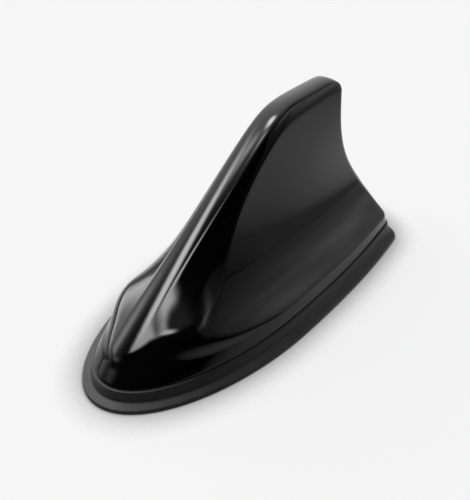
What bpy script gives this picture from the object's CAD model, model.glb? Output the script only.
"""Looks of a stick-on shark fin aerial: a gloss black housing on a rubber gasket.

Everything is in metres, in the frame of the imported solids: the nose at -X, the tail
at +X and the roof at Z 0. Each operator below makes one piece or finishes one group.
"""

import math

import bmesh
import bpy
import numpy as np
from bpy.props import FloatProperty, FloatVectorProperty, PointerProperty
from mathutils import Matrix, Vector


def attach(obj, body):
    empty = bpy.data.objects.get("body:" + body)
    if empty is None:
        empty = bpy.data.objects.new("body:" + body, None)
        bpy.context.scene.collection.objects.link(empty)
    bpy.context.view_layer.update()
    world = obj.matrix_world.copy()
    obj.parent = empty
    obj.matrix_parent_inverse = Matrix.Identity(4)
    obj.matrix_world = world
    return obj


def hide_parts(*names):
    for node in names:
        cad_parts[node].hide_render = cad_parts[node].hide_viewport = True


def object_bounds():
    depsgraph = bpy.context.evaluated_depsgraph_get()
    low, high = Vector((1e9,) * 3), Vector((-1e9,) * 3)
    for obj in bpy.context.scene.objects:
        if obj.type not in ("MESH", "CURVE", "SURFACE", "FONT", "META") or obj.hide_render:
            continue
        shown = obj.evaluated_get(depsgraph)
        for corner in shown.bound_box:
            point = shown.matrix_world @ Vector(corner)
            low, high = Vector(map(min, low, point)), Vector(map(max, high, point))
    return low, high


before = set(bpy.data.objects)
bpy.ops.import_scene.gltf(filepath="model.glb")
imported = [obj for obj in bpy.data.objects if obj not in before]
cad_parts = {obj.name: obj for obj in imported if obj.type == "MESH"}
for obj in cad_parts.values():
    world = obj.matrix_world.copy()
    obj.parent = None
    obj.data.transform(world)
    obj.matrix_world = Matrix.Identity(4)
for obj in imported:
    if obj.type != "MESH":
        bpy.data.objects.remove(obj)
cad_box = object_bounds()

bl_info = {
    "name": "Shark Fin Aerial",
    "version": (1, 0, 0),
    "blender": (4, 5, 0),
    "location": "View3D > Sidebar > Aerial",
    "description": "Builds a gloss shark fin aerial with its gasket, floor and circuit",
    "category": "Object",
}


def size(label, words, millimetres):
    """A length that the user can change, stored in metres."""
    return FloatProperty(
        name=label, description=words, default=millimetres / 1000, unit="LENGTH", precision=5
    )


def ratio(label, words, value):
    """A plain number that the user can change."""
    return FloatProperty(name=label, description=words, default=value, precision=3)


def colour(label, words, value):
    """A colour that the user can change, in linear red, green and blue."""
    return FloatVectorProperty(
        name=label, description=words, default=value, size=3, min=0, max=1, subtype="COLOR"
    )


def angle(label, words, degrees):
    """An angle that the user can change, stored in radians."""
    return FloatProperty(name=label, description=words, default=math.radians(degrees), subtype="ANGLE")


class AerialForm(bpy.types.PropertyGroup):
    """Sizes of the housing and the gasket."""

    length: size("Length", "Gasket from nose to tail", (cad_box[1].x - cad_box[0].x) * 1000)
    width: size("Width", "Gasket at its widest", (cad_box[1].y - cad_box[0].y) * 1000)
    height: size("Height", "From the roof to the fin's top", 72.6)
    gasket_height: size("Gasket height", "From the roof to the housing's foot", 5.9)
    gasket_opening: size("Gasket opening", "From the rim in to the gasket's opening", 8.3)
    rim_height: size("Rim height", "Upright edge of the gasket's flange", 1.3)
    rim_lean: size("Rim lean", "How far the flange's edge leans in", 0.25)
    step_inset: size("Step inset", "From the rim in to the foot of the gasket's step", 3.3)
    step_foot: size("Step foot", "Height at the foot of the gasket's step", 2.1)
    step_top: size("Step top", "From the rim in to the top of the gasket's step", 4.5)
    gasket_edge: size("Gasket edge", "Softness of the gasket's edges", 0.45)
    flange_reach: size("Flange reach", "From the rim in to the housing", 5.2)
    foot_gap: size("Foot gap", "Shadow line under the housing", 0.45)
    widest_x: size("Widest place", "Where the outline is widest, along the length", -3.6)
    round_nose: ratio("Round nose", "Roundness of the foot's nose", 0.5523)
    side_curl: ratio("Side curl", "How much the sides turn in towards the tail", 2.2)
    tail_ratio: ratio("Tail ratio", "Half width at the tail against the widest", 0.815)
    tail_reach: ratio("Tail reach", "Share of the flange's reach left at the tail", 0.3)
    tail_corner: size("Tail corner", "Rounding of the tail's corners", 4.0)
    tail_corner_share: ratio("Tail corner share", "Most rounding against the tail's half width", 0.4)
    tail_bow: ratio("Tail bow", "How far the tail bows out against its half width", 0.2)
    tail_flat: ratio("Tail flat", "Straight middle of the tail against its half width", 0.1)
    skirt_height: size("Skirt height", "Near-upright band at the housing's foot", 5.0)
    skirt_lean_side: size("Skirt lean, sides", "How far the skirt leans in at the sides", 1.3)
    skirt_lean_nose: size("Skirt lean, nose", "How far the skirt leans in at the nose", 4.0)
    skirt_lean_tail: size("Skirt lean, tail", "How far the skirt leans in at the tail", 2.0)
    flare_fall: size("Flare fall", "Height over which the flare dies out", 7.0)
    fin_half_top: size("Fin half width", "Half width of the fin at its top", 6.3)
    fin_draft: size("Fin draft", "How much wider the fin gets towards its foot", 2.6)
    ridge_half: size("Nose half width", "Half width of the nose form at its foot", 23.2)
    ridge_fullness: ratio("Nose fullness", "How quickly the nose form narrows upwards", 2.45)
    ridge_start_x: size("Ridge start", "Widest place of the nose form at its foot", -49.8)
    ridge_end_x: size("Ridge end", "Widest place of the nose form at the top", -8.2)
    ridge_settle: size("Ridge settle", "Height over which the nose form leaves the skirt", 4.3)
    nose_rake: size("Nose rake", "How far the leading edge leans back", 42.0)
    nose_point: ratio("Nose point", "Roundness of the nose form's tip", 0.23)
    nose_full: ratio("Nose full", "Fullness of the nose form towards its widest place", 0.5)
    nose_settle: size("Nose settle", "Height over which the nose becomes pointed", 3.0)
    tip_x: size("Tip", "Rear of the fin at its top", 50.6)
    trailing_fall: size("Trailing fall", "Height over which the trailing edge sweeps in", 25.4)
    trailing_power: ratio("Trailing power", "How sharply the trailing edge turns upright", 1.85)
    nose_corner_x: size("Nose corner, length", "Where the spine starts, along the length", -65.0)
    nose_corner_z: size("Nose corner, height", "Where the spine starts, above the roof", 13.2)
    spine_slope: ratio("Spine slope", "Rise of the spine against its run", 0.744)
    knee_softness: size("Knee softness", "How softly the spine bends into the level top", 2.8)
    tip_bend_x: size("Tip bend", "Where the top begins to fall to the tip", 49.0)
    tip_slope: ratio("Tip slope", "How steeply the top falls at the tip", 1.8)
    spine_half: size("Spine half width", "Half width of the crowned spine", 4.2)
    spine_crown: size("Spine crown", "Height of the spine's crown", 0.45)
    spine_edge: size("Spine edge", "Softness of the spine's edges", 0.42)
    flank_fall_nose: ratio("Flank fall, nose", "How steeply the top falls beside the spine at the nose", 0.28)
    flank_fall_fin: ratio("Flank fall, fin", "How steeply the top falls beside the spine on the fin", 1.5)
    flank_turn_start: size("Flank turn start", "Where the flanks begin to steepen", -54.3)
    flank_turn_end: size("Flank turn end", "Where the flanks have steepened", -16.4)
    flank_flat: size("Flank flat", "Straight part of the flanks beside the spine", 3.0)
    flank_round: ratio("Flank round", "How much the flanks curl down, per metre", 8.3)
    wall: size("Wall", "Thickness of the housing's sides", 2.2)
    roof_wall: size("Roof wall", "Thickness of the housing's top", 3.2)
    ridge_round: size("Ridge rounding", "Softness of the line between top and sides on the fin", 1.5)
    nose_round: size("Nose rounding", "Softness of the line between top and sides at the nose", 4.0)
    shoulder_round: size("Shoulder rounding", "Softness of the line above the skirt", 0.9)
    lip_round: size("Lip rounding", "Softness of the housing's lower lip", 0.25)
    middle_front: size("Middle line, front", "From the ridge's front to the top's middle line", 11.0)
    middle_rear: size("Middle line, rear", "From the top's middle line to the ridge's rear", 8.0)


class AerialFittings(bpy.types.PropertyGroup):
    """Sizes and places of the bosses, the screws and the loading coil."""

    front_boss_x: size("Front bosses, length", "Place of the front screw bosses along the length", -46.0)
    front_boss_y: size("Front bosses, side", "Place of the front screw bosses off the middle", 9.0)
    rear_boss_x: size("Rear bosses, length", "Place of the rear screw bosses along the length", 46.0)
    rear_boss_y: size("Rear bosses, side", "Place of the rear screw bosses off the middle", 14.5)
    boss_radius: size("Boss radius", "Radius of the screw bosses", 3.2)
    boss_bore: size("Boss bore", "Radius of the hole in a screw boss", 1.3)
    boss_depth: size("Boss depth", "Depth of the hole in a screw boss", 5.8)
    housing_screw_seat: size("Housing screw seat", "From the roof up to the housing screws' heads", 1.2)
    housing_screw_radius: size("Housing screw radius", "Radius of the housing screws", 1.25)
    housing_screw_reach: size("Housing screw reach", "Length of the housing screws with their heads", 9.7)
    housing_screw_head: size("Housing screw head", "Radius of the housing screws' heads", 2.3)
    housing_screw_head_height: size("Housing screw head height", "Height of the housing screws' heads", 1.5)
    board_screw_front_x: size("Front board screws, length", "Place of the board's front screws", -34.0)
    board_screw_rear_x: size("Rear board screws, length", "Place of the board's rear screws", 36.0)
    board_screw_y: size("Board screws, side", "Place of the board's screws off the middle", 7.0)
    board_screw_seat: size("Board screw seat", "From the roof up to the top of the board screws", 10.2)
    board_screw_radius: size("Board screw radius", "Radius of the board screws", 1.0)
    board_screw_reach: size("Board screw reach", "Length of the board screws with their heads", 5.8)
    board_screw_head: size("Board screw head", "Radius of the board screws' heads", 1.8)
    board_screw_head_height: size("Board screw head height", "Height of the board screws' heads", 1.2)
    clamp_screw_x: size("Clamp screws, length", "Place of the strap's screws along the length", 44.0)
    clamp_screw_y: size("Clamp screws, side", "Place of the strap's screws off the middle", 6.4)
    clamp_screw_seat: size("Clamp screw seat", "From the roof up to the top of the strap's screws", 5.8)
    clamp_screw_radius: size("Clamp screw radius", "Radius of the strap's screws", 0.9)
    clamp_screw_reach: size("Clamp screw reach", "Length of the strap's screws with their heads", 4.0)
    clamp_screw_head: size("Clamp screw head", "Radius of the strap screws' heads", 1.6)
    clamp_screw_head_height: size("Clamp screw head height", "Height of the strap screws' heads", 1.0)
    coil_x: size("Coil, length", "Place of the loading coil along the length", -27.0)
    coil_start: size("Coil start", "Height of the coil's first turn", 10.3)
    coil_radius: size("Coil radius", "From the coil's axis to the middle of its wire", 2.9)
    coil_pitch: size("Coil pitch", "From one turn of the coil to the next", 2.0)
    coil_turns: ratio("Coil turns", "Number of turns of the coil", 5.0)
    wire_radius: size("Wire radius", "Radius of the coil's wire", 0.4)


class AerialFinish(bpy.types.PropertyGroup):
    """Colours of the finishes."""

    housing: colour("Housing", "Gloss lacquer of the housing", (0.002, 0.002, 0.0022))
    gasket: colour("Gasket", "Moulded rubber of the gasket", (0.012, 0.012, 0.013))
    floor_plate: colour("Floor plate", "Moulded floor of the housing", (0.022, 0.022, 0.024))
    tape: colour("Tape", "Foam tape on the underside", (0.045, 0.045, 0.047))
    grommet: colour("Grommet", "Rubber of the lead inlet", (0.03, 0.03, 0.032))
    solder_mask: colour("Solder mask", "Lacquer on the circuit boards", (0.012, 0.11, 0.045))
    copper: colour("Copper", "Bare copper of the radiator and coil", (0.72, 0.36, 0.2))
    tin: colour("Tin", "Tinned sheet of the can and the cap", (0.62, 0.62, 0.6))
    zinc: colour("Zinc", "Plating of the screws", (0.52, 0.53, 0.52))
    former: colour("Former", "Plastic of the coil's former", (0.6, 0.57, 0.5))
    resin: colour("Resin", "Moulded resin of the chips", (0.02, 0.02, 0.022))
    ceramic: colour("Ceramic", "Fired ceramic of the capacitors", (0.45, 0.33, 0.2))
    foam: colour("Foam", "Strip under the housing's roof", (0.07, 0.07, 0.075))
    brass: colour("Brass", "Terminal pins", (0.78, 0.6, 0.28))


class AerialStage(bpy.types.PropertyGroup):
    """Camera, lamp, room and floor."""

    turn: angle("Turn", "Camera's turn about the object", -49.13)
    rise: angle("Rise", "Camera's angle above the floor", 41.38)
    aim: size("Aim", "Place along the length that the camera turns about", 4.4)
    distance: size("Distance", "From the camera to the place it turns about", 257.14)
    lens: ratio("Lens", "Focal length in millimetres on the sensor", 46.07)
    sensor: ratio("Sensor", "Width of the camera's sensor in millimetres", 36.0)
    clip: size("Clip", "Nearest distance that the camera sees", 10)
    shift_across: ratio("Shift across", "Picture's shift to the right against its longer side", -0.03354)
    shift_up: ratio("Shift up", "Picture's shift upwards against its longer side", 0.06688)
    softbox: ratio("Softbox", "Radiance of the lamp at the left", 0.15)
    softbox_turn: angle("Softbox turn", "Turn of the lamp at the left, from +Y towards +X", -28)
    softbox_rise: angle("Softbox rise", "Angle of the lamp at the left above the floor", 57)
    softbox_distance: size("Softbox distance", "From the aerial to the lamp at the left", 800)
    softbox_across: size("Softbox across", "Width of the lamp at the left", 600)
    softbox_tall: size("Softbox tall", "Height of the lamp at the left", 500)
    softbox_aim: size("Softbox aim", "Height on the aerial that the lamp at the left looks at", 20)
    room_white: ratio("Room white", "White of the room as the camera sees it", 0.93)
    backdrop: colour("Backdrop", "Lit floor as the camera sees it", (0.88, 0.88, 0.88))
    floor_white: colour("Floor white", "White of the far floor and of the filled shade", (0.92, 0.92, 0.92))
    floor: colour("Floor", "Floor beside the aerial as the gloss shows it", (0.85, 0.85, 0.85))
    floor_dim: ratio("Floor dim", "Shade of the floor further off against that beside the aerial", 0.25)
    dim_start: ratio(
        "Dim start", "Where the floor starts to dim for the gloss, in half sizes of the aerial", 1.8
    )
    dim_end: ratio("Dim end", "Where the floor is all dim for the gloss, in half sizes of the aerial", 4.0)
    floor_drop: size("Floor drop", "From the gasket's foot down to the floor", 0.1)
    floor_opening: size("Floor opening", "From the gasket's rim in to the opening under the aerial", 2.0)
    floor_near: size("Floor near", "Floor's reach towards the camera", 98)
    floor_away: size("Floor away", "Floor's reach away from the camera", 1200)
    floor_side: size("Floor side", "Floor's reach to each side", 600)
    white_start: size("White start", "Where the floor begins to turn white, away from the camera", 100)
    white_end: size("White end", "Where the floor is all white, away from the camera", 400)
    dark_start: size("Dark start", "Where the gloss begins to see a darker floor, towards the camera", 10)
    dark_end: size("Dark end", "Where the gloss sees a black floor, towards the camera", 95)
    shade_lift: ratio("Shade lift", "How much of the floor's shade is filled up with white", 0.8)
    contact_reach: size("Contact reach", "How far the shade at the gasket's rim reaches", 14.0)
    contact_depth: ratio("Contact depth", "How deep the shade at the gasket's rim is", 3.6)


# How finely the pieces are drawn: steps along the stretches of an outline, and rows of points

STRETCHES = 5
HOUSING_STEPS = (84, 60, 15, 24, 3)
GASKET_STEPS = (90, 50, 20, 30, 4)
FLOOR_STEPS = 61
OUTER_ROWS = (6, 5, 44, 8, 32)
INNER_ROWS = (3, 2, 14, 3, 9)


# Form of the housing: outlines at each height, cut by a top that follows the spine


def outline_places(steps):
    """Places along half an outline, with its own number of steps on each stretch."""
    runs = [start + np.linspace(0, 1, count)[:-1] for start, count in enumerate(steps)]
    return np.concatenate([*runs, [STRETCHES]])


def bezier(along, *posts):
    """A curve in plan between the first and the last post, pulled by those between."""
    last = len(posts) - 1
    weights = [math.comb(last, i) * (1 - along) ** (last - i) * along**i for i in range(last + 1)]
    return [sum(weight * post[k] for weight, post in zip(weights, posts)) for k in (0, 1)]


def half_outline(form, at, nose, widest, half, tail, tail_half, point, full):
    """Half a teardrop: nose (at 0), widest place (1), corner (2 to 3), bowed tail (to 4), its flat (to 5)."""
    radius = np.minimum(form.tail_corner, form.tail_corner_share * tail_half)
    flat = form.tail_flat * tail_half
    bow = form.tail_bow * tail_half
    end_y = tail_half - radius
    bend = (end_y - flat) / (tail_half - flat)
    end_x = tail - bow * bend**2
    corner_x = end_x - 2 * bow * bend * radius / (tail_half - flat)
    drift = form.side_curl * (tail_half - half) / (corner_x - widest)
    start = corner_x - radius, tail_half - drift * radius
    reach = (np.abs(start[0] - widest) + np.abs(start[1] - half)) / 3
    push = reach / (1 + np.abs(drift))
    stretches = [
        ((nose, 0), (nose, point * half), (widest - full * (widest - nose), half), (widest, half)),
        ((widest, half), (widest + reach, half), (start[0] - push, start[1] - drift * push), start),
        (start, (corner_x, tail_half), (end_x, end_y)),
        ((end_x, end_y), (tail, (end_y + flat) / 2), (tail, flat)),
        ((tail, flat), (tail, 0)),
    ]
    runs = [bezier(np.clip(at - k, 0, 1), *posts) for k, posts in enumerate(stretches)]
    which = np.minimum(at.astype(int), STRETCHES - 1)
    return [np.choose(which, [run[k] for run in runs]) for k in (0, 1)]


def foot_outline(form, at, inset):
    """The gasket's rim drawn in by an inset, less at the tail within the flange."""
    half = form.width / 2 - inset
    drawn_in = min(inset, form.flange_reach) * form.tail_reach + max(inset - form.flange_reach, 0)
    tail = form.length / 2 - drawn_in
    tail_half = form.width / 2 * form.tail_ratio - inset
    round_nose = form.round_nose
    return half_outline(
        form, at, inset - form.length / 2, form.widest_x, half, tail, tail_half, round_nose, round_nose
    )


def side_point(form, at, z, inset):
    """A point of the housing's side at a height above the skirt."""
    shoulder = form.gasket_height + form.skirt_height
    half_foot = form.width / 2 - form.flange_reach - form.skirt_lean_side
    climb = z - shoulder
    rise = climb / (form.height - shoulder)
    left = np.maximum(1 - rise, 0)
    fin = form.fin_half_top + form.fin_draft * (1 - rise)
    panel = fin + (half_foot - fin) * np.exp(-climb / form.flare_fall)
    settle = np.exp(-climb / form.ridge_settle)
    ridge = form.fin_half_top + (form.ridge_half - form.fin_half_top) * left**form.ridge_fullness
    ridge_x = form.ridge_start_x + (form.ridge_end_x - form.ridge_start_x) * rise
    widest = ridge_x + (form.widest_x - ridge_x) * settle
    half = ridge + (half_foot - ridge) * settle
    foot_tail = form.length / 2 - form.flange_reach * form.tail_reach - form.skirt_lean_tail
    swept = np.exp(-((np.maximum(climb, 0) / form.trailing_fall) ** form.trailing_power))
    tail = form.tip_x + (foot_tail - form.tip_x) * swept
    nose = -form.length / 2 + form.flange_reach + form.skirt_lean_nose + form.nose_rake * rise
    pointed = 1 - np.exp(-climb / form.nose_settle)
    point = form.round_nose + (form.nose_point - form.round_nose) * pointed
    full = form.round_nose + (form.nose_full - form.round_nose) * pointed
    tail_half = panel * form.tail_ratio - inset
    x, y = half_outline(form, at, nose + inset, widest, half - inset, tail - inset, tail_half, point, full)
    return np.stack([x, y, z + 0 * x], -1)


def fin_share(form, x):
    """How far the nose has turned into the fin, from 0 to 1 along the length."""
    turn = np.clip((x - form.flank_turn_start) / (form.flank_turn_end - form.flank_turn_start), 0, 1)
    return turn**2 * (3 - 2 * turn)


def top_height(form, x, y, drop):
    """Height of the housing's top: a crowned spine with flanks that fall away beside it."""
    rising = form.nose_corner_z + form.spine_slope * (x - form.nose_corner_x)
    falling = form.height - form.tip_slope * (x - form.tip_bend_x)
    low = np.minimum(np.minimum(rising, falling), form.height)
    soft = form.knee_softness
    crest = low - soft * np.log(sum(np.exp((low - z) / soft) for z in (rising, form.height, falling))) - drop
    fall = form.flank_fall_nose + (form.flank_fall_fin - form.flank_fall_nose) * fin_share(form, x)
    side = np.abs(y)
    past = side - form.spine_half
    first = 2 * form.spine_crown / form.spine_half
    crown = form.spine_crown * (np.minimum(side, form.spine_half) / form.spine_half) ** 2
    bend = (fall - first) * (np.sqrt(past**2 + form.spine_edge**2) + past) / 2
    curl = form.flank_round * np.maximum(past - form.flank_flat, 0) ** 2
    return crest - crown - first * np.maximum(past, 0) - bend - curl


def inside_height(form, x, y):
    """Height of the middle of the housing's wall over a place in plan."""
    places, levels = 401, 200
    at = np.linspace(0, STRETCHES, places)[None, :]
    heights = np.linspace(form.gasket_height + form.skirt_height, form.height, levels)[:, None]
    outline = side_point(form, at, heights, form.wall / 2)
    reach = np.array([np.interp(x, line[:, 0], line[:, 1]) for line in outline])
    under_side = heights[reach >= y].max()
    return min(under_side, float(top_height(form, np.array(x), np.array(y), form.roof_wall / 2)))


def rounded(before, corner, after, count):
    """Points of a soft corner between two runs, without their ends."""
    share = np.linspace(0, 1, count + 2)[None, 1:-1, None]
    left = 1 - share
    return left**2 * before[:, None] + 2 * share * left * corner[:, None] + share**2 * after[:, None]


def housing_columns(form, at, inset, drop, counts):
    """Points of half the housing, column by column: foot, skirt, side, ridge, then in to the middle."""
    skirt_rows, shoulder_rows, side_rows, ridge_rows, top_rows = counts
    at = at[:, None]
    same = np.ones_like(at)
    shoulder = (form.gasket_height + form.skirt_height) * same
    start_over, end_over, halvings = 0.0002, 0.004, 48
    low, high = shoulder + start_over, (form.height + end_over) * same
    for _ in range(halvings):
        middle = (low + high) / 2
        point = side_point(form, at, middle, inset)
        below = top_height(form, point[..., 0], point[..., 1], drop) > middle
        low, high = np.where(below, middle, low), np.where(below, high, middle)
    crest = (low + high) / 2
    ridge = side_point(form, at, crest, inset)[:, 0]

    def climb_for(z, reach, way):
        """Height that a reach along the side takes up, upwards or downwards."""
        step = 5e-5
        run = side_point(form, at, z + way * step, inset) - side_point(form, at, z, inset)
        return reach * step / np.linalg.norm(run[:, 0], axis=1, keepdims=True)

    corner = side_point(form, at, shoulder, inset)[:, 0]
    room = np.linalg.norm(ridge - corner, axis=1, keepdims=True)
    softness = form.nose_round + (form.ridge_round - form.nose_round) * fin_share(form, ridge[:, :1])
    most_ridge, most_shoulder = 0.45, 0.3
    ridge_reach = np.minimum(softness, most_ridge * room)
    shoulder_reach = np.minimum(form.shoulder_round, most_shoulder * room)
    side_end = crest - climb_for(crest, ridge_reach, -1)
    side_start = shoulder + climb_for(shoulder, shoulder_reach, 1)

    front, rear = ridge[:, 0].min(), ridge[:, 0].max()
    middle_length = rear - front - form.middle_front - form.middle_rear
    middle_x = front + form.middle_front + middle_length * (ridge[:, :1] - front) / (rear - front)

    def row(along):
        """Points of the top, from the ridge in to the middle line."""
        x = ridge[:, :1] + (middle_x - ridge[:, :1]) * along
        y = ridge[:, 1:2] * (1 - along)
        return np.stack([x, y, top_height(form, x, y, drop)], -1)

    first = 0.002
    first_run = np.linalg.norm((row(first * same) - row(0 * same))[:, 0], axis=1, keepdims=True)
    row_start = np.minimum(ridge_reach * first / first_run, most_ridge)

    def foot_points(z, reach):
        """Points of the foot's outline at a height."""
        x, y = foot_outline(form, at, reach)
        return np.concatenate([x, y, z * same], 1)

    foot = foot_points(form.gasket_height, form.flange_reach + form.foot_gap + inset)
    lip = foot_points(form.gasket_height + form.foot_gap, form.flange_reach + inset)
    run = corner - lip
    run_length = np.linalg.norm(run, axis=1, keepdims=True)
    skirt_end = corner - run * (shoulder_reach / run_length)
    skirt_start = lip + run * (form.lip_round / run_length)
    under_lip = (foot + lip) / 2
    lip_rows = 2
    up_skirt = np.linspace(0, 1, skirt_rows)[None, :, None]
    up_side = np.linspace(0, 1, side_rows)[None, :]
    over_top = np.linspace(0, 1, top_rows)[None, :]
    return np.concatenate(
        [
            foot[:, None],
            under_lip[:, None],
            rounded(under_lip, lip, skirt_start, lip_rows),
            skirt_start[:, None] * (1 - up_skirt) + skirt_end[:, None] * up_skirt,
            rounded(skirt_end, corner, side_point(form, at, side_start, inset)[:, 0], shoulder_rows),
            side_point(form, at, side_start + (side_end - side_start) * up_side, inset),
            rounded(side_point(form, at, side_end, inset)[:, 0], ridge, row(row_start)[:, 0], ridge_rows),
            row(row_start + (1 - row_start) * over_top),
        ],
        1,
    )


def quads(rows, columns, start, flip, wrap=False):
    """Faces of a grid of points numbered column by column."""
    index = start + np.arange(columns * rows).reshape(columns, rows)
    if wrap:
        index = np.concatenate([index, index[:1]])
    faces = np.stack([index[:-1, :-1], index[:-1, 1:], index[1:, 1:], index[1:, :-1]], -1).reshape(-1, 4)
    return faces[:, ::-1] if flip else faces


def mesh_piece(name, points, faces, material):
    """A smooth closed piece made of points and faces."""
    mesh = bpy.data.meshes.new(name)
    mesh.from_pydata(points.tolist(), [], faces.tolist())
    work = bmesh.new()
    work.from_mesh(mesh)
    same_place, no_length = 2e-7, 1e-8
    bmesh.ops.remove_doubles(work, verts=work.verts, dist=same_place)
    bmesh.ops.dissolve_degenerate(work, edges=work.edges, dist=no_length)
    for face in work.faces:
        face.smooth = True
    loose = [edge for edge in work.edges if len(edge.link_faces) != 2]
    if loose:
        raise RuntimeError(f"{name} has {len(loose)} open edges")
    work.to_mesh(mesh)
    work.free()
    mesh.materials.append(material)
    piece = bpy.data.objects.new(name, mesh)
    bpy.context.scene.collection.objects.link(piece)
    return piece


# Finishes


def node(tree, kind, place, **inputs):
    """A node with inputs set by name, or by number as i0, i1, to a value or another node's output."""
    made = tree.nodes.new(kind)
    made.location = place
    for name, value in inputs.items():
        numbered = name[0] == "i" and name[1:].isdigit()
        socket = made.inputs[int(name[1:]) if numbered else name.replace("_", " ")]
        if isinstance(value, bpy.types.NodeSocket):
            tree.links.new(value, socket)
        else:
            socket.default_value = value
    return made


def new_group(name, inputs, outputs):
    """An empty shader node group with named sockets."""
    tree = bpy.data.node_groups.new(name, "ShaderNodeTree")
    for label, kind, value in inputs:
        socket = tree.interface.new_socket(name=label, in_out="INPUT", socket_type=kind)
        socket.default_value = value
    for label, kind in outputs:
        tree.interface.new_socket(name=label, in_out="OUTPUT", socket_type=kind)
    entry = tree.nodes.new("NodeGroupInput")
    entry.location = (-900, 0)
    leave = tree.nodes.new("NodeGroupOutput")
    leave.location = (700, 0)
    return tree, entry, leave


def math_node(tree, operation, place, first, second=0.5, clamp=False):
    """The result of one sum in a node tree."""
    made = node(tree, "ShaderNodeMath", place, i0=first, i1=second)
    made.operation = operation
    made.use_clamp = clamp
    return made.outputs[0]


def map_range(tree, place, value, start, end, low=0.0, high=1.0):
    """A value carried from one range to another and held within it."""
    made = node(tree, "ShaderNodeMapRange", place, Value=value, From_Min=start, From_Max=end,
                To_Min=low, To_Max=high)
    return made.outputs["Result"]


def noise(tree, place, where, scale, detail, rough=0.5, distortion=0.0):
    """Soft noise over a place."""
    made = node(tree, "ShaderNodeTexNoise", place, Vector=where, Scale=scale, Detail=detail,
                Roughness=rough, Distortion=distortion)
    return made.outputs["Fac"]


def object_place(tree, place=(-1200, 0)):
    """Coordinates that are fixed to the object."""
    made = tree.nodes.new("ShaderNodeTexCoord")
    made.location = place
    return made.outputs["Object"]


def grain_group():
    """Fine moulded grain: a height for bump and an even tone that varies slowly."""
    found = bpy.data.node_groups.get("fine_grain")
    if found:
        return found
    tree, entry, leave = new_group(
        "fine_grain",
        [("Grain Scale", "NodeSocketFloat", 6000.0), ("Cloud Scale", "NodeSocketFloat", 60.0)],
        [("Height", "NodeSocketFloat"), ("Tone", "NodeSocketFloat")],
    )
    where = object_place(tree, (-900, -260))
    grain_scale = entry.outputs["Grain Scale"]
    fine = noise(tree, (-600, 200), where, grain_scale, detail=3.0, rough=0.6)
    pits = node(tree, "ShaderNodeTexVoronoi", (-600, -60), Vector=where, Scale=grain_scale)
    cloud = noise(tree, (-600, -320), where, entry.outputs["Cloud Scale"], detail=4.0, rough=0.55)
    height = math_node(tree, "ADD", (-200, 160), fine, pits.outputs["Distance"])
    tree.links.new(height, leave.inputs["Height"])
    tree.links.new(map_range(tree, (-200, -300), cloud, 0.3, 0.7), leave.inputs["Tone"])
    return tree


def dust_group():
    """Settled dust: specks in patches on faces that look up."""
    found = bpy.data.node_groups.get("settled_dust")
    if found:
        return found
    tree, entry, leave = new_group(
        "settled_dust",
        [("Speck Scale", "NodeSocketFloat", 900.0), ("Amount", "NodeSocketFloat", 0.5)],
        [("Mask", "NodeSocketFloat")],
    )
    place = tree.nodes.new("ShaderNodeTexCoord")
    place.location = (-900, -260)
    where = place.outputs["Object"]
    up = node(tree, "ShaderNodeSeparateXYZ", (-700, 260), Vector=place.outputs["Normal"])
    faces_up = map_range(tree, (-450, 260), up.outputs["Z"], 0.1, 0.9)
    specks = node(tree, "ShaderNodeTexVoronoi", (-700, 0), Vector=where, Scale=entry.outputs["Speck Scale"])
    dots = map_range(tree, (-450, 0), specks.outputs["Distance"], 0.13, 0.05)
    film = noise(tree, (-700, -300), where, scale=120.0, detail=5.0)
    patches = map_range(tree, (-450, -300), film, 0.45, 0.75)
    both = math_node(tree, "MULTIPLY", (-200, -60), dots, patches)
    lifted = math_node(tree, "MULTIPLY", (60, 120), both, faces_up)
    amount = math_node(tree, "MULTIPLY", (300, 60), lifted, entry.outputs["Amount"], clamp=True)
    tree.links.new(amount, leave.inputs["Mask"])
    return tree


def start_material(name):
    """A new material, its node tree and its shader."""
    material = bpy.data.materials.new(name)
    material.use_nodes = True
    tree = material.node_tree
    shader = tree.nodes["Principled BSDF"]
    return material, tree, shader


def group_node(tree, group, place, **inputs):
    """A node group placed in a tree with its own values."""
    made = tree.nodes.new("ShaderNodeGroup")
    made.node_tree = group
    made.location = place
    for name, value in inputs.items():
        made.inputs[name.replace("_", " ")].default_value = value
    return made


def shade_pair(tree, place, mask, dark, light):
    """Colour between two shades, by a mask; a shade may be a colour or another node's output."""
    mix = tree.nodes.new("ShaderNodeMix")
    mix.data_type = "RGBA"
    mix.location = place
    tree.links.new(mask, mix.inputs["Factor"])
    for socket, shade in ((mix.inputs[6], dark), (mix.inputs[7], light)):
        if isinstance(shade, bpy.types.NodeSocket):
            tree.links.new(shade, socket)
        else:
            socket.default_value = (*shade, 1)
    return mix.outputs[2]


def times(rgb, factor):
    """A colour made darker or lighter."""
    return tuple(min(1.0, part * factor) for part in rgb)


def bump(tree, shader, place, height, strength, distance):
    """Makes a shader's surface uneven by a height."""
    made = node(tree, "ShaderNodeBump", place, Height=height, Strength=strength, Distance=distance)
    tree.links.new(made.outputs["Normal"], shader.inputs["Normal"])


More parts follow.
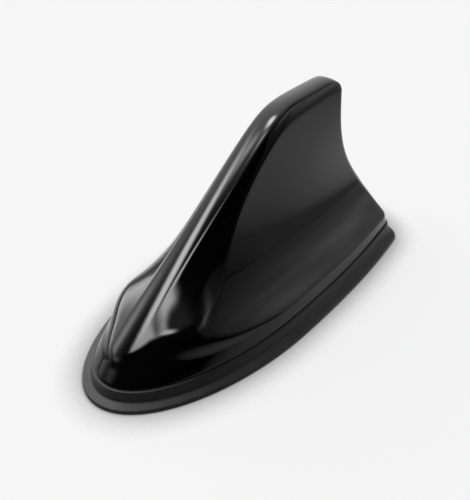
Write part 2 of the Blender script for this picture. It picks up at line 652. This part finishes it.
def housing_lacquer(base):
    """Deep gloss black with a faint ripple, wipe marks and a few specks of dust."""
    material, tree, shader = start_material("housing_lacquer")
    where = object_place(tree)
    dust = group_node(tree, dust_group(), (-900, 300), Speck_Scale=700.0, Amount=0.35)
    smear = node(tree, "ShaderNodeMapping", (-1000, -60), Vector=where, Scale=(1.0, 1.0, 3.0))
    wipe = noise(tree, (-800, -60), smear.outputs["Vector"], 45.0, detail=5.0, rough=0.6, distortion=0.8)
    tint = shade_pair(tree, (-300, 260), dust.outputs["Mask"], base, (0.16, 0.16, 0.16))
    tree.links.new(tint, shader.inputs["Base Color"])
    soft = map_range(tree, (-550, -60), wipe, 0.35, 0.75, low=0.025, high=0.055)
    rough = math_node(tree, "ADD", (-300, -20), soft, dust.outputs["Mask"])
    tree.links.new(rough, shader.inputs["Roughness"])
    ripple = noise(tree, (-800, -360), where, scale=260.0, detail=2.0)
    bump(tree, shader, (-300, -360), ripple, strength=0.05, distance=0.0001)
    return material


def moulded(name, base, rough, grain, depth, spread=0.45, dust=0.0):
    """Matte moulded rubber or plastic: fine grain, slow change of tone, dust on top."""
    material, tree, shader = start_material(name)
    texture = group_node(tree, grain_group(), (-800, 0), Grain_Scale=grain, Cloud_Scale=70.0)
    tone = texture.outputs["Tone"]
    shades = shade_pair(tree, (-450, 240), tone, times(base, 1 - spread), times(base, 1 + spread))
    if dust:
        powder = group_node(tree, dust_group(), (-800, 420), Speck_Scale=1500.0, Amount=dust)
        shades = shade_pair(tree, (-200, 300), powder.outputs["Mask"], shades, (0.22, 0.22, 0.21))
    tree.links.new(shades, shader.inputs["Base Color"])
    matte = map_range(tree, (-450, -40), tone, 0.0, 1.0, low=rough - 0.07, high=rough + 0.07)
    tree.links.new(matte, shader.inputs["Roughness"])
    bump(tree, shader, (-450, -300), texture.outputs["Height"], strength=0.5, distance=depth)
    return material


def plated(name, base, rough, grain=2500.0):
    """Plated or bare metal with a fine drawn grain and slow staining."""
    material, tree, shader = start_material(name)
    shader.inputs["Metallic"].default_value = 1.0
    where = object_place(tree)
    drawn = node(tree, "ShaderNodeMapping", (-950, -200), Vector=where, Scale=(0.08, 1.0, 1.0))
    lines = noise(tree, (-750, -200), drawn.outputs["Vector"], grain, detail=4.0)
    stain = group_node(tree, grain_group(), (-800, 160), Grain_Scale=grain, Cloud_Scale=180.0)
    tint = shade_pair(tree, (-400, 220), stain.outputs["Tone"], times(base, 0.72), base)
    tree.links.new(tint, shader.inputs["Base Color"])
    worn = map_range(tree, (-400, -60), lines, 0.0, 1.0, low=rough - 0.1, high=rough + 0.14)
    tree.links.new(worn, shader.inputs["Roughness"])
    bump(tree, shader, (-400, -320), lines, strength=0.25, distance=0.00002)
    return material


def solder_mask(name, base):
    """Green lacquer over a board, with the tracks showing through as lighter lines."""
    material, tree, shader = start_material(name)
    where = object_place(tree)
    tracks = node(tree, "ShaderNodeTexBrick", (-900, 140), Vector=where, Scale=160.0, Mortar_Size=0.03,
                  Brick_Width=0.9, Row_Height=0.4)
    weave = group_node(tree, grain_group(), (-900, -220), Grain_Scale=3200.0, Cloud_Scale=110.0)
    shades = shade_pair(tree, (-450, 240), tracks.outputs["Fac"], base, times(base, 2.1))
    dim = math_node(tree, "MULTIPLY", (-450, 20), weave.outputs["Tone"], 0.3)
    tint = shade_pair(tree, (-200, 260), dim, shades, times(base, 0.5))
    tree.links.new(tint, shader.inputs["Base Color"])
    gloss = map_range(tree, (-450, -160), weave.outputs["Tone"], 0.0, 1.0, low=0.24, high=0.4)
    tree.links.new(gloss, shader.inputs["Roughness"])
    bump(tree, shader, (-450, -400), tracks.outputs["Fac"], strength=0.4, distance=0.00004)
    return material


def dress(name, material):
    """Gives a solid that keeps its shape its finish."""
    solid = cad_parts[name]
    solid.data.materials.clear()
    solid.data.materials.append(material)


# Screws, coil and bosses: what repeats or follows a path is grown by node trees


def geometry_tree(name, labels):
    """An empty geometry tree that takes a piece's points, some sizes and a finish."""
    tree = bpy.data.node_groups.new(name, "GeometryNodeTree")
    tree.interface.new_socket(name="Points", in_out="INPUT", socket_type="NodeSocketGeometry")
    for label in labels:
        tree.interface.new_socket(name=label, in_out="INPUT", socket_type="NodeSocketFloat")
    tree.interface.new_socket(name="Finish", in_out="INPUT", socket_type="NodeSocketMaterial")
    tree.interface.new_socket(name="Piece", in_out="OUTPUT", socket_type="NodeSocketGeometry")
    entry = tree.nodes.new("NodeGroupInput")
    entry.location = (-1200, 0)
    leave = tree.nodes.new("NodeGroupOutput")
    leave.location = (1000, 0)
    return tree, entry, leave


def spread(tree, entry, leave, one, over=0.0):
    """Sets one piece on every point, turned over or not, and finishes the tree."""
    turn = node(tree, "ShaderNodeCombineXYZ", (200, -200), X=over)
    many = node(tree, "GeometryNodeInstanceOnPoints", (400, 0), Points=entry.outputs["Points"], Instance=one,
                Rotation=turn.outputs[0])
    whole = node(tree, "GeometryNodeRealizeInstances", (600, 0), Geometry=many.outputs[0])
    coated = node(tree, "GeometryNodeSetMaterial", (800, 0), Geometry=whole.outputs[0],
                  Material=entry.outputs["Finish"])
    tree.links.new(coated.outputs[0], leave.inputs["Piece"])


def raised(tree, place, piece, height):
    """A piece of a tree moved up."""
    lift = node(tree, "ShaderNodeCombineXYZ", (place[0] - 150, place[1] - 120), Z=height)
    return node(tree, "GeometryNodeTransform", place, Geometry=piece, Translation=lift.outputs[0]).outputs[0]


def wound(tree, place, radius, turns, rise, wire, steps, sides):
    """A round wire wound up in a helix."""
    path = node(tree, "GeometryNodeCurveSpiral", place, Resolution=steps, Rotations=turns,
                Start_Radius=radius, End_Radius=radius, Height=rise)
    section = node(tree, "GeometryNodeCurvePrimitiveCircle", (place[0], place[1] - 220), Resolution=sides,
                   Radius=wire)
    made = node(tree, "GeometryNodeCurveToMesh", (place[0] + 200, place[1]), Curve=path.outputs["Curve"],
                Profile_Curve=section.outputs["Curve"], Fill_Caps=True)
    return made.outputs[0]


def cut_away(tree, place, piece, cutters):
    """A piece of a tree with cutters taken out of it."""
    made = node(tree, "GeometryNodeMeshBoolean", place)
    made.operation = "DIFFERENCE"
    tree.links.new(piece, made.inputs["Mesh 1"])
    for cutter in cutters:
        tree.links.new(cutter, made.inputs["Mesh 2"])
    return made.outputs["Mesh"]


def screw_tree():
    """Cross-recessed screws with a bevelled head at the point and a threaded shank along +Z."""
    found = bpy.data.node_groups.get("cross_screws")
    if found:
        return found
    labels = ("Shank Radius", "Reach", "Head Radius", "Head Height", "Over")
    tree, entry, leave = geometry_tree("cross_screws", labels)
    radius, reach, head_radius, head_height, over = (entry.outputs[label] for label in labels)

    def share(place, value, factor):
        """A part of a size."""
        return math_node(tree, "MULTIPLY", place, value, factor)

    core = share((-950, 500), radius, 0.86)
    ridge = share((-950, 400), radius, 0.14)
    pitch = share((-950, 300), radius, 0.8)
    under_head = math_node(tree, "SUBTRACT", (-1050, 200), reach, head_height)
    threaded = math_node(tree, "SUBTRACT", (-950, 200), under_head, ridge)
    turns = math_node(tree, "DIVIDE", (-800, 250), threaded, pitch)
    sunk = share((-950, 700), head_height, 0.8)
    bare = math_node(tree, "SUBTRACT", (-800, 700), reach, sunk)
    middle = share((-650, 800), math_node(tree, "ADD", (-800, 800), reach, sunk), 0.5)
    shank = node(tree, "GeometryNodeMeshCylinder", (-600, 600), Vertices=20, Radius=core, Depth=bare)
    thread = wound(tree, (-600, 300), core, turns, threaded, ridge, steps=20, sides=6)
    head = node(tree, "GeometryNodeMeshCone", (-600, -200), Vertices=32, Radius_Top=head_radius,
                Radius_Bottom=share((-950, -200), head_radius, 0.74), Depth=head_height)
    span, width = share((-950, -300), head_radius, 1.2), share((-950, -400), head_radius, 0.25)
    arms = []
    for along, across, deep in ((span, width, 0.6), (width, span, 0.64)):
        twice = share((-950, -500), head_height, 2 * deep)
        box = node(tree, "ShaderNodeCombineXYZ", (-750, -500), X=along, Y=across, Z=twice)
        arms.append(node(tree, "GeometryNodeMeshCube", (-600, -500), Size=box.outputs[0]).outputs["Mesh"])
    joined = tree.nodes.new("GeometryNodeJoinGeometry")
    joined.location = (0, 0)
    for piece in (
        raised(tree, (-300, 600), shank.outputs["Mesh"], middle),
        raised(tree, (-200, 300), thread, head_height),
        cut_away(tree, (-300, -200), head.outputs["Mesh"], arms),
    ):
        tree.links.new(piece, joined.inputs[0])
    spread(tree, entry, leave, joined.outputs[0], over)
    return tree


def coil_tree():
    """A coil of round wire wound about each point."""
    labels = ("Radius", "Wire", "Pitch", "Turns")
    tree, entry, leave = geometry_tree("wound_coil", labels)
    radius, wire, pitch, turns = (entry.outputs[label] for label in labels)
    rise = math_node(tree, "MULTIPLY", (-800, -200), pitch, turns)
    spread(tree, entry, leave, wound(tree, (-500, 0), radius, turns, rise, wire, steps=48, sides=12))
    return tree


def boss_tree():
    """Screw bosses: round posts that stand on their points, with a blind hole from below."""
    labels = ("Radius", "Bore", "Depth", "Height")
    tree, entry, leave = geometry_tree("screw_bosses", labels)
    radius, bore, depth, height = (entry.outputs[label] for label in labels)
    post = node(tree, "GeometryNodeMeshCylinder", (-600, 100), Vertices=32, Radius=radius, Depth=height)
    half = math_node(tree, "MULTIPLY", (-800, 0), height, 0.5)
    twice = math_node(tree, "MULTIPLY", (-800, -200), depth, 2.0)
    hole = node(tree, "GeometryNodeMeshCylinder", (-600, -200), Vertices=24, Radius=bore, Depth=twice)
    stood = raised(tree, (-350, 100), post.outputs["Mesh"], half)
    spread(tree, entry, leave, cut_away(tree, (0, 0), stood, [hole.outputs["Mesh"]]))
    return tree


def grown(name, tree, places, values, material):
    """A plain piece grown by a tree on the given points."""
    mesh = bpy.data.meshes.new(name)
    mesh.from_pydata(places, [], [])
    piece = bpy.data.objects.new(name, mesh)
    bpy.context.scene.collection.objects.link(piece)
    grower = piece.modifiers.new("grow", "NODES")
    grower.node_group = tree
    sockets = {item.name: item.identifier for item in tree.interface.items_tree if item.in_out == "INPUT"}
    for label, value in {**values, "Finish": material}.items():
        grower[sockets[label]] = value
    graph = bpy.context.evaluated_depsgraph_get()
    made = bpy.data.meshes.new_from_object(piece.evaluated_get(graph))
    piece.modifiers.remove(grower)
    made.materials.clear()
    made.materials.append(material)
    piece.data = made
    return piece


def boss_places(fittings):
    """Length and side of the front and the rear screw bosses."""
    front = fittings.front_boss_x, fittings.front_boss_y
    return front, (fittings.rear_boss_x, fittings.rear_boss_y)


def stand_in(piece, name):
    """Puts a grown piece in the place of a solid."""
    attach(piece, "root")
    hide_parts(name)


class AERIAL_OT_housing(bpy.types.Operator):
    """Moulded housing: a closed shell with a soft ridge line and the shadow gap at its foot"""

    bl_idname = "aerial.housing"
    bl_label = "Housing"

    def execute(self, context):
        form, fittings = context.scene.aerial_form, context.scene.aerial_fittings
        at = outline_places(HOUSING_STEPS)
        outer = housing_columns(form, at, 0.0, 0.0, OUTER_ROWS)
        inner = housing_columns(form, at, form.wall, form.roof_wall, INNER_ROWS)
        inner[:, 0, 2] = form.gasket_height
        count, tall = outer.shape[:2]
        short = inner.shape[1]
        half = np.concatenate([outer.reshape(-1, 3), inner.reshape(-1, 3)])
        rim = np.stack([np.arange(count) * tall, count * tall + np.arange(count) * short], 1)
        foot = np.stack([rim[:-1, 0], rim[1:, 0], rim[1:, 1], rim[:-1, 1]], 1)
        faces = np.concatenate(
            [quads(tall, count, 0, False), quads(short, count, count * tall, True), foot]
        )
        points = np.concatenate([half, half * (1, -1, 1)])
        faces = np.concatenate([faces, faces[:, ::-1] + len(half)])
        lacquer = housing_lacquer(context.scene.aerial_finish.housing)
        piece = mesh_piece("housing", points, faces, lacquer)
        tree = boss_tree()
        sizes = {"Radius": fittings.boss_radius, "Bore": fittings.boss_bore, "Depth": fittings.boss_depth}
        for x, y in boss_places(fittings):
            sizes["Height"] = inside_height(form, x, y + fittings.boss_radius) - form.gasket_height
            pair = [(x, side * y, form.gasket_height) for side in (-1, 1)]
            self.take_in(piece, grown("bosses", tree, pair, sizes, lacquer))
        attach(piece, "root")
        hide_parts("radome")
        return {"FINISHED"}

    def take_in(self, piece, other):
        """Adds another piece's mesh to a piece and removes the other."""
        work = bmesh.new()
        work.from_mesh(piece.data)
        work.from_mesh(other.data)
        work.to_mesh(piece.data)
        work.free()
        bpy.data.objects.remove(other)


class AERIAL_OT_gasket(bpy.types.Operator):
    """Rubber gasket: a thin flange with a raised step, as one ring with soft edges"""

    bl_idname = "aerial.gasket"
    bl_label = "Gasket"

    def execute(self, context):
        form, finish = context.scene.aerial_form, context.scene.aerial_finish
        at = outline_places(GASKET_STEPS)[:, None]
        sharp, soft, hollow, most, edge_points = 0.3, 1.0, 1.4, 0.42, 4
        section = [
            (0.0, 0.0, sharp),
            (form.rim_height, form.rim_lean, soft),
            (form.step_foot, form.step_inset, hollow),
            (form.gasket_height, form.step_top, soft),
            (form.gasket_height, form.gasket_opening, sharp),
            (0.0, form.gasket_opening, sharp),
        ]
        corners = []
        for z, inset, _ in section:
            x, y = foot_outline(form, at, inset)
            corners.append(np.concatenate([x, y, z + 0 * x], 1))
        rows = []
        for k, (_, _, share) in enumerate(section):
            here, before, after = corners[k], corners[k - 1], corners[(k + 1) % len(corners)]
            ends = []
            for other in (before, after):
                run = other - here
                length = np.linalg.norm(run, axis=1, keepdims=True)
                ends.append(here + run * np.minimum(form.gasket_edge * share / length, most))
            rows += [ends[0][:, None], rounded(ends[0], here, ends[1], edge_points), ends[1][:, None]]
        rows = np.concatenate(rows, 1)
        ring = np.concatenate([rows, rows[-2:0:-1] * (1, -1, 1)])
        tall = ring.shape[1]
        closed = np.concatenate([ring, ring[:, :1]], 1)
        faces = quads(tall + 1, len(ring), 0, False, wrap=True)
        rubber = moulded("gasket_rubber", finish.gasket, rough=0.42, grain=5200.0, depth=0.00005, dust=0.25)
        piece = mesh_piece("gasket", closed.reshape(-1, 3), faces, rubber)
        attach(piece, "root")
        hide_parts("base_gasket")
        return {"FINISHED"}


class AERIAL_OT_underside(bpy.types.Operator):
    """Finishes of the floor plate, the foam tape and the lead inlet"""

    bl_idname = "aerial.underside"
    bl_label = "Underside"

    def execute(self, context):
        finish = context.scene.aerial_finish
        plate = moulded("plate_plastic", finish.floor_plate, rough=0.5, grain=4200.0, depth=0.00005)
        tape = moulded("tape_foam", finish.tape, rough=0.8, grain=2600.0, depth=0.00018, spread=0.25)
        grommet = moulded("grommet_rubber", finish.grommet, rough=0.6, grain=5200.0, depth=0.00005)
        clamp = moulded("clamp_plastic", finish.floor_plate, rough=0.42, grain=4800.0, depth=0.00004)
        dress("base_plate", plate)
        dress("adhesive_pad", tape)
        dress("cable_grommet", grommet)
        dress("cable_clamp", clamp)
        return {"FINISHED"}


class AERIAL_OT_radiator(bpy.types.Operator):
    """Copper meander and the loading coil wound from round wire"""

    bl_idname = "aerial.radiator"
    bl_label = "Radiator"

    def execute(self, context):
        fittings = context.scene.aerial_fittings
        copper = plated("bare_copper", context.scene.aerial_finish.copper, rough=0.3)
        dress("radiator_trace", copper)
        sizes = {"Radius": fittings.coil_radius, "Wire": fittings.wire_radius, "Pitch": fittings.coil_pitch,
                 "Turns": fittings.coil_turns}
        coil = grown("coil", coil_tree(), [(fittings.coil_x, 0, fittings.coil_start)], sizes, copper)
        coil.data.shade_smooth()
        stand_in(coil, "loading_coil")
        return {"FINISHED"}


class AERIAL_OT_screws(bpy.types.Operator):
    """Cross-recessed screws of the housing, the board and the lead's strap"""

    bl_idname = "aerial.screws"
    bl_label = "Screws"

    def execute(self, context):
        fittings = context.scene.aerial_fittings
        zinc = plated("zinc_screw", context.scene.aerial_finish.zinc, rough=0.34)
        board_x = fittings.board_screw_front_x, fittings.board_screw_rear_x
        kinds = (
            ("housing_screw", boss_places(fittings), 0.0),
            ("board_screw", [(x, fittings.board_screw_y) for x in board_x], math.pi),
            ("clamp_screw", [(fittings.clamp_screw_x, fittings.clamp_screw_y)], math.pi),
        )
        words = {
            "Shank Radius": "radius",
            "Reach": "reach",
            "Head Radius": "head",
            "Head Height": "head_height",
        }
        for kind, places, over in kinds:
            seat = getattr(fittings, kind + "_seat")
            points = [(x, side * y, seat) for x, y in places for side in (-1, 1)]
            sizes = {label: getattr(fittings, f"{kind}_{word}") for label, word in words.items()}
            sizes["Over"] = over
            piece = grown(kind + "s_look", screw_tree(), points, sizes, zinc)
            stand_in(piece, kind + "s")
        return {"FINISHED"}


class AERIAL_OT_circuit(bpy.types.Operator):
    """Finishes of the boards and of the parts on and over them"""

    bl_idname = "aerial.circuit"
    bl_label = "Circuit"

    def execute(self, context):
        finish = context.scene.aerial_finish
        mask = solder_mask("board_mask", finish.solder_mask)
        tin = plated("tinned_sheet", finish.tin, rough=0.28)
        brass = plated("pin_brass", finish.brass, rough=0.25)
        former = moulded("former_plastic", finish.former, rough=0.4, grain=5200.0, depth=0.00003,
                         spread=0.12)
        resin = moulded("chip_resin", finish.resin, rough=0.45, grain=7000.0, depth=0.00003)
        ceramic = moulded("chip_ceramic", finish.ceramic, rough=0.4, grain=6000.0, depth=0.00002, spread=0.2)
        ferrite = moulded("sintered_ferrite", finish.resin, rough=0.5, grain=3600.0, depth=0.00006)
        foam = moulded("foam_strip", finish.foam, rough=0.85, grain=2200.0, depth=0.0003, spread=0.3)
        dress("amplifier_board", mask)
        dress("antenna_board", mask)
        dress("top_load_cap", tin)
        dress("shield_can", tin)
        dress("terminal_pins", brass)
        dress("coil_former", former)
        dress("amplifier_transistor", resin)
        dress("capacitors", ceramic)
        dress("choke", ferrite)
        dress("damping_foam", foam)
        return {"FINISHED"}


def camera_axes(turn, rise):
    """Right, up and back directions of a camera that looks at the origin."""
    back = Vector((math.sin(turn) * math.cos(rise), -math.cos(turn) * math.cos(rise), math.sin(rise)))
    right = Vector((math.cos(turn), math.sin(turn), 0))
    return right, back.cross(right), back


# Soft lamps of the room, named as the camera sees them, with turns in degrees from +Y towards +X

LAMP_VALUES = ("Centre Turn", "Centre Rise", "Half Turn", "Half Rise", "Edge", "Strength")
LAMPS = {
    "wall behind at the left": (12, 25, 50, 48, 4, 1.7),
    "wall behind at the right": (98, -10, 50, 60, 6, 0.3),
    "clouds at the right": (118, 27, 42, 16, 2, 0.5),
    "high strip behind": (-3, 68, 20, 4.6, 3, 13.5),
    "high strip in front": (-105, 54, 22, 4.6, 3, 8.2),
    "strip at the left": (-52, 47, 30, 3.1, 3, 11.2),
    "high patch at the left": (-52, 69, 14, 5, 2, 5.4),
    "patch at the left": (-30, 55, 8, 5, 2, 4.0),
    "low patch at the left": (-58, 24, 12, 8, 2, 1.2),
    "second low patch at the left": (-35, 30, 8, 5, 2, 2.8),
    "low patch behind": (-8, 9, 14, 11, 3, 2.8),
    "strip at the right": (150, 35, 18, 4, 2, 1.0),
    "ceiling": (0, 90, 720, 31, 4, 0.4),
    "ground": (0, -90, 720, 55, 4, 0.9),
}
CLOUDY_LAMP = "clouds at the right"


def lamp_group():
    """A soft patch of light on the room's walls: a level by how far a direction is from its centre."""
    found = bpy.data.node_groups.get("soft_lamp")
    if found:
        return found
    labels = ("Turn", "Rise", *LAMP_VALUES)
    tree, entry, leave = new_group(
        "soft_lamp", [(label, "NodeSocketFloat", 1.0) for label in labels], [("Level", "NodeSocketFloat")]
    )
    away = []
    for k, axis in enumerate(("Turn", "Rise")):
        row = -200 * k
        off = math_node(tree, "SUBTRACT", (-650, row), entry.outputs[axis], entry.outputs["Centre " + axis])
        share = math_node(tree, "DIVIDE", (-450, row), off, entry.outputs["Half " + axis])
        share = math_node(tree, "ABSOLUTE", (-250, row), share)
        away.append(math_node(tree, "POWER", (-50, row), share, entry.outputs["Edge"]))
    both = math_node(tree, "ADD", (100, 0), away[0], away[1])
    fade = math_node(tree, "EXPONENT", (380, 0), math_node(tree, "MULTIPLY", (240, 0), both, -1.0))
    level = math_node(tree, "MULTIPLY", (540, 0), fade, entry.outputs["Strength"])
    tree.links.new(level, leave.inputs["Level"])
    return tree


class AERIAL_OT_stage(bpy.types.Operator):
    """Camera at the photograph's angle, a pale floor, a softbox and a white room with soft lamps"""

    bl_idname = "aerial.stage"
    bl_label = "Stage"

    def execute(self, context):
        form, stage = context.scene.aerial_form, context.scene.aerial_stage
        right, up, back = camera_axes(stage.turn, stage.rise)
        ahead = Vector((-back.x, -back.y, 0)).normalized()
        context.scene.view_settings.view_transform = "Standard"
        self.add_camera(context, stage, Matrix((right, up, back)).transposed().to_4x4(), back)
        floor = self.add_floor(context, form, stage, ahead)
        floor.data.materials.append(self.floor_finish(form, stage, ahead))
        self.make_room(context, stage)
        self.add_softbox(context, stage)
        return {"FINISHED"}

    def add_camera(self, context, stage, turned, back):
        """The camera, on a line from the place it turns about."""
        lens = bpy.data.cameras.new("camera")
        lens.lens = stage.lens
        lens.sensor_width = stage.sensor
        lens.shift_x = stage.shift_across
        lens.shift_y = stage.shift_up
        lens.clip_start = stage.clip
        camera = bpy.data.objects.new("camera", lens)
        place = back * stage.distance + Vector((stage.aim, 0, 0))
        camera.matrix_world = Matrix.Translation(place) @ turned
        context.scene.collection.objects.link(camera)
        context.scene.camera = camera

    def add_floor(self, context, form, stage, ahead):
        """A floor, open under the aerial, that ends just in front of the picture."""
        across = Vector((-ahead.y, ahead.x, 0))
        at = np.linspace(0, STRETCHES, FLOOR_STEPS)
        half = np.stack(foot_outline(form, at, stage.floor_opening), 1)
        inner = np.concatenate([half, half[-2:0:-1] * (1, -1)])
        steps = inner @ np.array([[ahead.x, across.x], [ahead.y, across.y]])
        side, no_step = stage.floor_side, 1e-9
        ends = np.where(steps > 0, (stage.floor_away, side), (-stage.floor_near, -side))
        room = ends / np.where(steps == 0, no_step, steps)
        outer = inner * room.min(1)[:, None]
        flat = [(x, y, -stage.floor_drop) for x, y in np.concatenate([inner, outer])]
        count = len(inner)
        mesh = bpy.data.meshes.new("floor")
        mesh.from_pydata(flat, [], [
            (k, (k + 1) % count, count + (k + 1) % count, count + k) for k in range(count)
        ])
        floor = bpy.data.objects.new("floor", mesh)
        context.scene.collection.objects.link(floor)
        return floor

    def floor_finish(self, form, stage, ahead):
        """White with a soft shade at the gasket's rim for the camera, and a table that dims for the gloss."""
        material, tree, shader = start_material("pale_floor")
        shader.inputs["Roughness"].default_value = 1.0
        shader.inputs["Specular IOR Level"].default_value = 0.0
        where = object_place(tree)
        path = tree.nodes.new("ShaderNodeLightPath")
        by_camera = path.outputs["Is Camera Ray"]
        depth = node(tree, "ShaderNodeVectorMath", (-700, 300), i0=where, i1=ahead)
        depth.operation = "DOT_PRODUCT"
        distant = map_range(tree, (-500, 300), depth.outputs["Value"], stage.white_start, stage.white_end)
        close = map_range(tree, (-700, 600), depth.outputs["Value"], -stage.dark_end, -stage.dark_start)
        bare = math_node(tree, "ADD", (-500, 700), close, by_camera, clamp=True)
        halves = 2 / form.length, 2 / form.width, 0
        shares = node(tree, "ShaderNodeVectorMath", (-900, 900), i0=where, i1=halves)
        shares.operation = "MULTIPLY"
        reach = node(tree, "ShaderNodeVectorMath", (-700, 900), i0=shares.outputs["Vector"])
        reach.operation = "LENGTH"
        away = map_range(tree, (-500, 900), reach.outputs["Value"], stage.dim_start, stage.dim_end)
        table = shade_pair(tree, (-300, 900), away, stage.floor, times(stage.floor, stage.floor_dim))
        seen_tint = shade_pair(tree, (-300, 700), by_camera, table, stage.backdrop)
        tint = shade_pair(tree, (-100, 700), bare, (0, 0, 0), seen_tint)
        tree.links.new(tint, shader.inputs["Base Color"])
        seen = math_node(tree, "ADD", (-500, 0), by_camera, path.outputs["Is Glossy Ray"], clamp=True)
        seen = math_node(tree, "ADD", (-350, 0), seen, path.outputs["Is Transmission Ray"], clamp=True)
        share = math_node(tree, "MULTIPLY", (-200, 100), distant, seen)
        lifted = math_node(tree, "MULTIPLY", (-350, 200), by_camera, stage.shade_lift)
        share = math_node(tree, "MAXIMUM", (-50, 100), share, lifted)
        contact = node(tree, "ShaderNodeAmbientOcclusion", (-600, -250), Distance=stage.contact_reach)
        contact.samples = 8
        shade = math_node(tree, "POWER", (-400, -250), contact.outputs["AO"], stage.contact_depth)
        white = (*stage.floor_white, 1)
        glow = node(tree, "ShaderNodeEmission", (-200, -200), Color=white, Strength=shade)
        mix = node(tree, "ShaderNodeMixShader", (100, 0), i0=share, i1=shader.outputs[0], i2=glow.outputs[0])
        behind = tree.nodes.new("ShaderNodeNewGeometry")
        clear = tree.nodes.new("ShaderNodeBsdfTransparent")
        both = node(tree, "ShaderNodeMixShader", (300, 0), i0=behind.outputs["Backfacing"],
                    i1=mix.outputs[0], i2=clear.outputs[0])
        tree.links.new(both.outputs[0], tree.nodes["Material Output"].inputs["Surface"])
        return material

    def make_room(self, context, stage):
        """A room that is white for the camera and lit by soft lamps for all else."""
        world = bpy.data.worlds.new("room")
        context.scene.world = world
        world.use_nodes = True
        tree = world.node_tree
        light = tree.nodes["Background"]
        light.inputs["Color"].default_value = (1, 1, 1, 1)
        where = tree.nodes.new("ShaderNodeTexCoord").outputs["Generated"]
        way = node(tree, "ShaderNodeSeparateXYZ", (-900, 0), Vector=where)
        around = math_node(tree, "ARCTAN2", (-700, 100), way.outputs["X"], way.outputs["Y"])
        above = math_node(tree, "ARCSINE", (-700, -100), way.outputs["Z"])
        turn = math_node(tree, "DEGREES", (-550, 100), around)
        rise = math_node(tree, "DEGREES", (-550, -100), above)
        cloud = noise(tree, (-550, 500), where, scale=3.2, detail=1.0)
        patches = map_range(tree, (-300, 500), cloud, 0.3, 0.7, low=0.3, high=1.9)
        total = 0.0
        for k, (name, values) in enumerate(LAMPS.items()):
            row = 300 - 200 * k
            lamp = group_node(tree, lamp_group(), (-300, row), **dict(zip(LAMP_VALUES, values)))
            lamp.label = name
            tree.links.new(turn, lamp.inputs["Turn"])
            tree.links.new(rise, lamp.inputs["Rise"])
            level = lamp.outputs["Level"]
            if name == CLOUDY_LAMP:
                level = math_node(tree, "MULTIPLY", (-100, row), level, patches)
            total = math_node(tree, "ADD", (0, row), level, total)
        path = tree.nodes.new("ShaderNodeLightPath")
        mix = tree.nodes.new("ShaderNodeMix")
        mix.data_type = "FLOAT"
        tree.links.new(path.outputs["Is Camera Ray"], mix.inputs[0])
        tree.links.new(total, mix.inputs[2])
        mix.inputs[3].default_value = stage.room_white
        tree.links.new(mix.outputs[0], light.inputs["Strength"])

    def add_softbox(self, context, stage):
        """A rectangular lamp aimed at the aerial, out of sight of the gloss."""
        lamp = bpy.data.lights.new("softbox", "AREA")
        lamp.shape = "RECTANGLE"
        lamp.size = stage.softbox_across
        lamp.size_y = stage.softbox_tall
        lamp.energy = stage.softbox * math.pi * stage.softbox_across * stage.softbox_tall
        holder = bpy.data.objects.new("softbox", lamp)
        turn, rise = stage.softbox_turn, stage.softbox_rise
        way = Vector((math.sin(turn) * math.cos(rise), math.cos(turn) * math.cos(rise), math.sin(rise)))
        holder.location = way * stage.softbox_distance + Vector((0, 0, stage.softbox_aim))
        holder.rotation_euler = way.to_track_quat("Z", "Y").to_euler()
        holder.visible_glossy = False
        context.scene.collection.objects.link(holder)


class AERIAL_PT_sidebar(bpy.types.Panel):
    """Lists the makers of the aerial's pieces and all of their settings"""

    bl_idname = "AERIAL_PT_sidebar"
    bl_label = "Shark Fin Aerial"
    bl_space_type = "VIEW_3D"
    bl_region_type = "UI"
    bl_category = "Aerial"

    def draw(self, context):
        for maker in makers:
            self.layout.operator(maker.bl_idname)
        for setting in groups:
            group = getattr(context.scene, setting)
            column = self.layout.column(align=True)
            for name in group.__annotations__:
                column.prop(group, name)


groups = {
    "aerial_form": AerialForm,
    "aerial_fittings": AerialFittings,
    "aerial_finish": AerialFinish,
    "aerial_stage": AerialStage,
}
makers = (
    AERIAL_OT_stage,
    AERIAL_OT_housing,
    AERIAL_OT_gasket,
    AERIAL_OT_underside,
    AERIAL_OT_radiator,
    AERIAL_OT_screws,
    AERIAL_OT_circuit,
)


def register():
    """Adds the settings, the operators and the panel."""
    for kind in (*groups.values(), *makers, AERIAL_PT_sidebar):
        bpy.utils.register_class(kind)
    for name, kind in groups.items():
        setattr(bpy.types.Scene, name, PointerProperty(type=kind))


def unregister():
    """Takes them away again."""
    for name in groups:
        delattr(bpy.types.Scene, name)
    for kind in (AERIAL_PT_sidebar, *reversed(makers), *reversed(groups.values())):
        bpy.utils.unregister_class(kind)


def main():
    """Builds the aerial and its stage."""
    register()
    bpy.ops.aerial.stage()
    bpy.ops.aerial.housing()
    bpy.ops.aerial.gasket()
    bpy.ops.aerial.underside()
    bpy.ops.aerial.radiator()
    bpy.ops.aerial.screws()
    bpy.ops.aerial.circuit()


if __name__ == "__main__":
    main()
